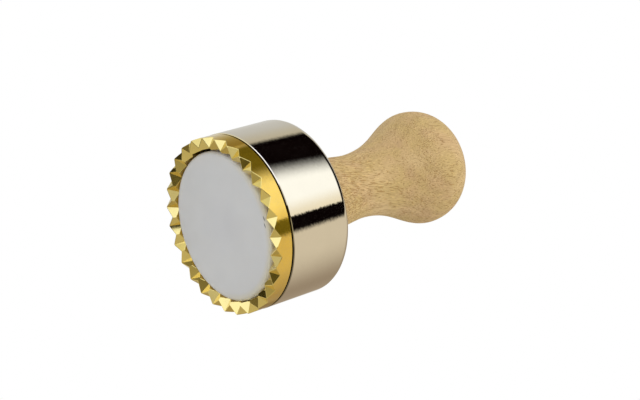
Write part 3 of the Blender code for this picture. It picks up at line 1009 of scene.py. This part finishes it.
class STAMP_OT_make_spring(bpy.types.Operator):
    """Model the return spring as a coiled wire with closed end turns"""

    bl_idname = "stamp.make_spring"
    bl_label = "Spring"
    bl_options = {"REGISTER", "UNDO"}

    def execute(self, context):
        wire_radius = context.scene.stamp_sizes.wire_radius
        radius = SPRING_HIGH.x - wire_radius
        bottom = SPRING_LOW.z + wire_radius
        top = SPRING_HIGH.z - wire_radius
        # The first and the last turn are closed, and those between them are open
        open_count = SPRING_TURNS - 2
        closed_pitch = 2 * wire_radius + CLOSED_TURN_GAP
        open_pitch = (top - bottom - 2 * closed_pitch) / open_count
        curve = bpy.data.curves.new("spring_wire", "CURVE")
        curve.dimensions = "3D"
        curve.bevel_depth = wire_radius
        curve.bevel_resolution = WIRE_STEPS
        curve.use_fill_caps = True
        spline = curve.splines.new("POLY")
        spline.points.add(SPRING_TURNS * COIL_STEPS)
        for index, spot in enumerate(spline.points):
            done = index / COIL_STEPS
            open_turns = min(max(done - 1, 0), open_count)
            height = bottom + open_pitch * open_turns + closed_pitch * (done - open_turns)
            angle = 2 * pi * done
            spot.co = (radius * cos(angle), radius * sin(angle), height, 1.0)
        guide = bpy.data.objects.new("spring_wire", curve)
        context.scene.collection.objects.link(guide)
        graph = context.evaluated_depsgraph_get()
        mesh = bpy.data.meshes.new_from_object(guide.evaluated_get(graph))
        bpy.data.objects.remove(guide)
        bm = bmesh.new()
        bm.from_mesh(mesh)
        bmesh.ops.remove_doubles(bm, verts=bm.verts, dist=MERGE)
        shade = context.scene.stamp_colours.spring_steel
        steel = steel_material("spring_steel", shade, roughness=0.3)
        spring = mesh_object("spring_coil", bm, steel, COIL_SHARP_ANGLE)
        settle(spring, STAMP, "return_spring")
        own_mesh(spring)
        return {"FINISHED"}


# Handle and fixings


def handle_outline(sizes):
    """The handle's outline from its end down its side, then up the bore for the stud."""
    foot = HANDLE_LOW.z
    chamfer = sizes.handle_chamfer
    end = Vector((0.0, HANDLE_HIGH.z, 0.0))
    ball = Vector((HANDLE_HIGH.x, foot + sizes.ball_height, 0.0))
    waist = Vector((sizes.waist_radius, foot + sizes.waist_height, 0.0))
    base = Vector((sizes.handle_base, foot + chamfer, 0.0))
    up = Vector((0.0, MM, 0.0))
    out = Vector((MM, 0.0, 0.0))
    over_base = base + BASE_DRAW_UP * up - BASE_DRAW_IN * out
    curves = (
        (end, end + END_DRAW * out, ball + BALL_DRAW_UP * up, ball),
        (ball, ball - BALL_DRAW_DOWN * up, waist + WAIST_DRAW_UP * up, waist),
        (waist, waist - WAIST_DRAW_DOWN * up, over_base, base),
    )
    points = [(end.x, end.y)]
    for curve in curves:
        points += [(point.x, point.y) for point in interpolate_bezier(*curve, CURVE_STEPS)[1:]]
    points += rounding(sizes.handle_base - chamfer, foot + chamfer, chamfer, 0.0, -pi / 2)[1:]
    bore_end = STUD_HIGH.z + MM
    points += [(STUD_HOLE_RADIUS, foot), (STUD_HOLE_RADIUS, bore_end), (0.0, bore_end)]
    return points


class STAMP_OT_make_handle(bpy.types.Operator):
    """Model the turned beech handle"""

    bl_idname = "stamp.make_handle"
    bl_label = "Handle"
    bl_options = {"REGISTER", "UNDO"}

    def execute(self, context):
        outline = handle_outline(context.scene.stamp_sizes)
        handle = mesh_object("beech_handle", turned(outline, HANDLE_STEPS), beech_material())
        settle(handle, STAMP, "wooden_handle")
        return {"FINISHED"}


class STAMP_OT_finish_fixings(bpy.types.Operator):
    """Give the stud, nut and washers their zinc-plated finishes"""

    bl_idname = "stamp.finish_fixings"
    bl_label = "Fixings"
    bl_options = {"REGISTER", "UNDO"}

    def execute(self, context):
        steel = context.scene.stamp_colours.steel
        dark, dull = darker(steel, share=0.7), darker(steel, share=0.95)
        finishes = {
            "handle_stud": steel_material("stud_steel", steel, roughness=0.32),
            "flat_washer": steel_material("flat_washer_steel", steel, roughness=0.26),
            "lock_washer": steel_material("lock_washer_steel", dark, roughness=0.4),
            "handle_nut": steel_material("nut_steel", dull, roughness=0.3),
        }
        for node, material in finishes.items():
            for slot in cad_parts[node].material_slots:
                slot.material = material
        return {"FINISHED"}


# Studio


def camera_pose():
    """How the camera is turned and which way it looks, as the photograph was taken."""
    level = cos(CAMERA_ELEVATION)
    back = TOWARD * level + Vector((0.0, 0.0, sin(CAMERA_ELEVATION)))
    turn = (-back).to_track_quat("-Z", "Y") @ Quaternion((0.0, 0.0, 1.0), CAMERA_ROLL)
    return turn, -back


def studio_light(world):
    """A window in front, a dark gap above it, a pale wall behind and a warm table below."""
    tree = world.node_tree
    tree.nodes.clear()
    facing = tree.nodes.new("ShaderNodeTexCoord").outputs["Generated"]
    bearing = math(tree, "ARCTAN2", dot(tree, facing, BESIDE), dot(tree, facing, TOWARD))
    turn = product(tree, bearing, 180 / pi)
    height = parts_of(tree, facing)[2]
    dip = math(tree, "SUBTRACT", LINE_LEVEL, height)

    def past(degrees, softness, drift=0.0):
        """A soft step past a line, which stands upright unless it drifts with height."""
        line = total(tree, degrees, product(tree, dip, drift)) if drift else degrees
        return ramp(tree, math(tree, "SUBTRACT", turn, line), -softness, softness)

    def by_turn(edge, a, b):
        return mix(tree, ramp(tree, turn, *edge), a, b)

    def by_height(edge, a, b):
        return mix(tree, ramp(tree, height, *edge), a, b)

    foot = ramp(tree, height, *FOOT_TOP)
    table = by_turn(TABLE_FAR_EDGE, TABLE_NEAR, TABLE_FAR)
    front = by_turn(TABLE_CORNER_EDGE, TABLE_FRONT, TABLE_CORNER)
    table = by_height(TABLE_FRONT_TOP, table, front)
    table = mix(tree, product(tree, foot, past(*TABLE_SHADE_START)), table, TABLE_SHADE)
    table = by_turn(BACKDROP_EDGE, table, BACKDROP)

    window = by_turn(WINDOW_WARM_EDGE, WINDOW_HIGH, WINDOW_WARM)
    window = by_height(WINDOW_LOW_TOP, window, WINDOW_LOW)
    corner = product(tree, foot, ramp(tree, turn, *WINDOW_CORNER_EDGE))
    window = mix(tree, corner, window, WINDOW_CORNER)
    window = by_height(GAP_OVER_WINDOW, window, GAP)

    wall = by_turn(WALL_FAR_EDGE, WALL_NEAR, WALL_FAR)
    wall = by_height(WALL_LOW_TOP, wall, by_turn(WALL_CORNER_EDGE, WALL_LOW, WALL_CORNER))

    before_gap_end = math(tree, "SUBTRACT", 1.0, past(*GAP_END))
    gap = product(tree, past(*WINDOW_END), before_gap_end)
    gap = product(tree, gap, ramp(tree, height, *GAP_FOOT))
    above = mix(tree, past(*WALL_START), window, wall)
    above = mix(tree, gap, above, GAP)
    bar = by_height(BAR_LOW_TOP, GAP, BAR_LOW)
    reflected = mix(tree, past(*BAR_START), table, bar)
    reflected = mix(tree, past(*BAR_END), reflected, above)

    camera_turn = camera_pose()[0]
    right = dot(tree, facing, camera_turn @ Vector((1, 0, 0)))
    up = dot(tree, facing, camera_turn @ Vector((0, 1, 0)))
    soft = total(tree, SOFT_LEVEL, product(tree, right, SOFT_RIGHT), product(tree, up, SOFT_UP))
    soft_blue = product(tree, soft, SOFT_BLUE)
    soft_colour = wire(tree, "ShaderNodeCombineColor", soft, soft, soft_blue)

    path = tree.nodes.new("ShaderNodeLightPath")
    light = mix(tree, path.outputs["Is Glossy Ray"], soft_colour, reflected)
    seen = mix(tree, path.outputs["Is Camera Ray"], light, WHITE)
    background = tree.nodes.new("ShaderNodeBackground")
    dress(tree, background, Color=seen)
    dress(tree, tree.nodes.new("ShaderNodeOutputWorld"), Surface=background.outputs[0])


def floor_material(shade):
    """A pale floor that shows from above and lets light and the view from below through."""
    material, tree, shader = new_material("pale_floor")
    dress(tree, shader, Base_Color=shade, Roughness=0.9, Specular_IOR_Level=0.1)
    clear = wire(tree, "ShaderNodeBsdfTransparent")
    seen = tree.nodes.new("ShaderNodeLightPath").outputs["Is Camera Ray"]
    below = tree.nodes.new("ShaderNodeNewGeometry").outputs["Backfacing"]
    shown = product(tree, seen, math(tree, "SUBTRACT", 1.0, below))
    blend = wire(tree, "ShaderNodeMixShader", shown, clear, shader.outputs[0])
    dress(tree, tree.nodes["Material Output"], Surface=blend)
    return material


def card_material(name, shade):
    """A card that gives off its shade and reflects nothing."""
    material, tree, shader = new_material(name)
    dress(
        tree,
        shader,
        Base_Color=(0.0, 0.0, 0.0),
        Specular_IOR_Level=0.0,
        Emission_Color=shade,
        Emission_Strength=1.0,
    )
    return material


def studio_card(name, shade, start, end, foot, top):
    """A curved card that only polished metal sees, between two angles and two heights."""
    bm = bmesh.new()
    edges = []
    for step in range(CARD_STEPS + 1):
        turn = radians(start + (end - start) * step / CARD_STEPS)
        spot = (TOWARD * cos(turn) + BESIDE * sin(turn)) * CARD_DISTANCE
        edges.append([bm.verts.new((spot.x, spot.y, height)) for height in (foot, top)])
    for (low, high), (next_low, next_high) in zip(edges, edges[1:]):
        bm.faces.new((low, next_low, next_high, high))
    card = mesh_object(name, bm, card_material(name, shade))
    card.visible_camera = False
    card.visible_diffuse = False
    card.visible_shadow = False
    return card


class STAMP_OT_make_studio(bpy.types.Operator):
    """Set up the pale floor, the soft studio light and the camera"""

    bl_idname = "stamp.make_studio"
    bl_label = "Studio"
    bl_options = {"REGISTER", "UNDO"}

    def execute(self, context):
        scene = context.scene
        bm = bmesh.new()
        bmesh.ops.create_grid(bm, x_segments=1, y_segments=1, size=FLOOR_SIZE)
        bmesh.ops.translate(bm, vec=(0.0, 0.0, -FLOOR_DROP), verts=bm.verts)
        mesh_object("studio_floor", bm, floor_material(scene.stamp_colours.floor))

        studio_card("dark_end_card", END_SHADE, *DARK_END_CARD)
        studio_card("dark_card", GAP, *DARK_CARD)
        studio_card("dim_card", DIM_SHADE, *DIM_CARD)

        world = bpy.data.worlds.new("studio_light")
        world.use_nodes = True
        scene.world = world
        studio_light(world)
        scene.view_settings.view_transform = "Standard"

        camera = bpy.data.objects.new("studio_camera", bpy.data.cameras.new("studio_camera"))
        scene.collection.objects.link(camera)
        turn, forward = camera_pose()
        camera.data.lens = CAMERA_LENS
        camera.data.clip_start = CAMERA_CLIP
        camera.rotation_mode = "QUATERNION"
        camera.rotation_quaternion = turn
        camera.location = CAMERA_TARGET - forward * CAMERA_DISTANCE
        scene.camera = camera
        return {"FINISHED"}


OPERATORS = (
    STAMP_OT_make_cutter_ring,
    STAMP_OT_make_head_sleeve,
    STAMP_OT_make_ejector,
    STAMP_OT_make_handle,
    STAMP_OT_make_spring,
    STAMP_OT_finish_fixings,
    STAMP_OT_make_studio,
)


class STAMP_PT_panel(bpy.types.Panel):
    bl_label = "Ravioli Stamp"
    bl_space_type = "VIEW_3D"
    bl_region_type = "UI"
    bl_category = "Stamp"

    def draw(self, context):
        for operator in OPERATORS:
            self.layout.operator(operator.bl_idname)


CLASSES = (StampSizes, StampColours, *OPERATORS, STAMP_PT_panel)


def register():
    for item in CLASSES:
        bpy.utils.register_class(item)
    bpy.types.Scene.stamp_sizes = PointerProperty(type=StampSizes)
    bpy.types.Scene.stamp_colours = PointerProperty(type=StampColours)


def unregister():
    del bpy.types.Scene.stamp_colours
    del bpy.types.Scene.stamp_sizes
    for item in reversed(CLASSES):
        bpy.utils.unregister_class(item)


def main():
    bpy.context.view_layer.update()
    register()
    bpy.ops.stamp.make_cutter_ring()
    bpy.ops.stamp.make_head_sleeve()
    bpy.ops.stamp.make_ejector()
    bpy.ops.stamp.make_handle()
    bpy.ops.stamp.make_spring()
    bpy.ops.stamp.finish_fixings()
    bpy.ops.stamp.make_studio()


if __name__ == "__main__":
    main()
